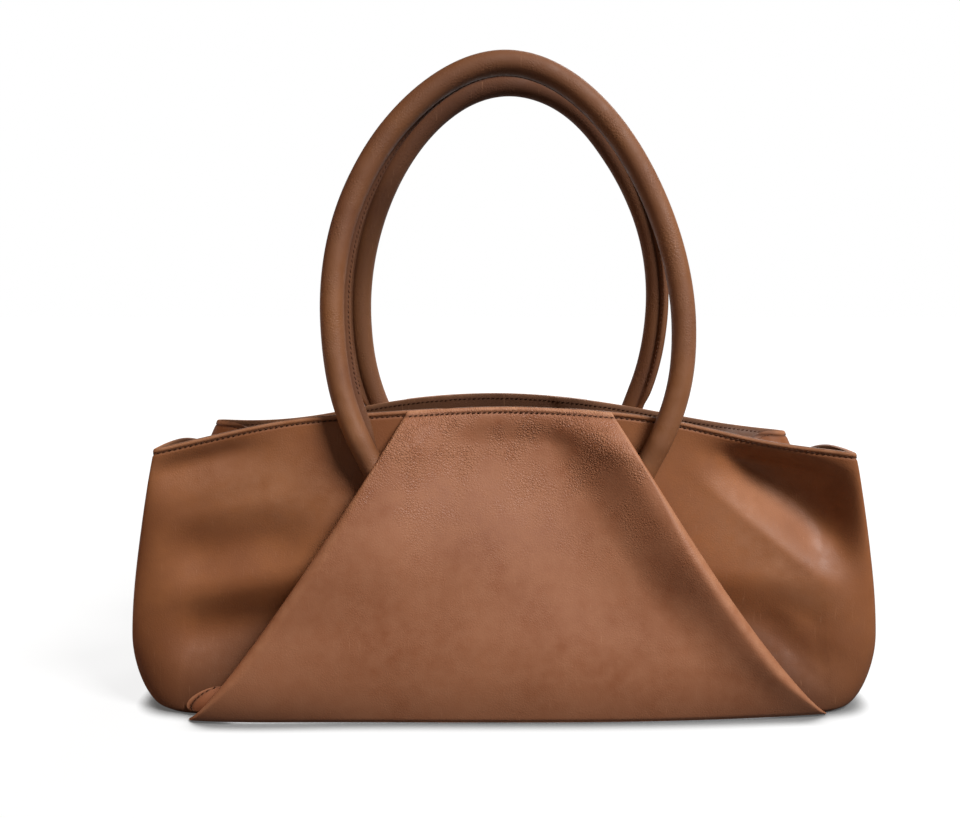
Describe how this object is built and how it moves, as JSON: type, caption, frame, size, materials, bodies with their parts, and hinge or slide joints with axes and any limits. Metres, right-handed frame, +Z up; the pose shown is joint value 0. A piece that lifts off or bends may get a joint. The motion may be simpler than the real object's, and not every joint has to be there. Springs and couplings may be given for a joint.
{
  "type": "leather handbag",
  "caption": "Soft wide handbag with a pleated centre panel on each face, folded-in ends, an open mouth and stitched rolled handles.",
  "frame": {"origin": "under the middle of the base, on the surface that the bag stands on", "axes": "+X to the right as seen from the front, +Y from the front to the back, +Z up"},
  "size_m": [0.4292, 0.1434, 0.3722],
  "materials": {
    "panel_leather": "satin, fine pebbled grain",
    "side_leather": "satin, smooth grain",
    "handle_leather": "satin, smooth grain",
    "facing_leather": "matt, flesh side",
    "lining_cloth": "woven cotton",
    "fibre_board": "pressed fibre board",
    "core_cord": "soft laid cotton cord",
    "snap_metal": "pale brass plate"
  },
  "bodies": {
    "bag": {"base_panel": "panel_leather", "base_board": "fibre_board", "lining_floor": "lining_cloth", "front_centre_panel": "panel_leather", "front_left_panel": "side_leather", "front_right_panel": "side_leather", "front_facing": "facing_leather", "front_lining": "lining_cloth", "front_snap_washer": "snap_metal", "front_left_handle_root": "handle_leather", "front_right_handle_root": "handle_leather", "snap_socket": "snap_metal", "back_centre_panel": "panel_leather", "back_left_panel": "side_leather", "back_right_panel": "side_leather", "back_facing": "facing_leather", "back_lining": "lining_cloth", "back_snap_washer": "snap_metal", "back_left_handle_root": "handle_leather", "back_right_handle_root": "handle_leather", "snap_stud": "snap_metal"},
    "front_handle": {"front_handle_cover": "handle_leather", "front_handle_core": "core_cord"},
    "back_handle": {"back_handle_cover": "handle_leather", "back_handle_core": "core_cord"}
  },
  "joints": [
    {"name": "front_handle_swing", "type": "hinge", "parent": "bag", "child": "front_handle", "pos_m": [0, -0.05578, 0.158], "axis": [1, 0, 0], "range_deg": [-6, 90], "stiffness_Nm_per_rad": 0.4},
    {"name": "back_handle_swing", "type": "hinge", "parent": "bag", "child": "back_handle", "pos_m": [0, 0.05578, 0.158], "axis": [-1, 0, 0], "range_deg": [-6, 90], "stiffness_Nm_per_rad": 0.4}
  ]
}
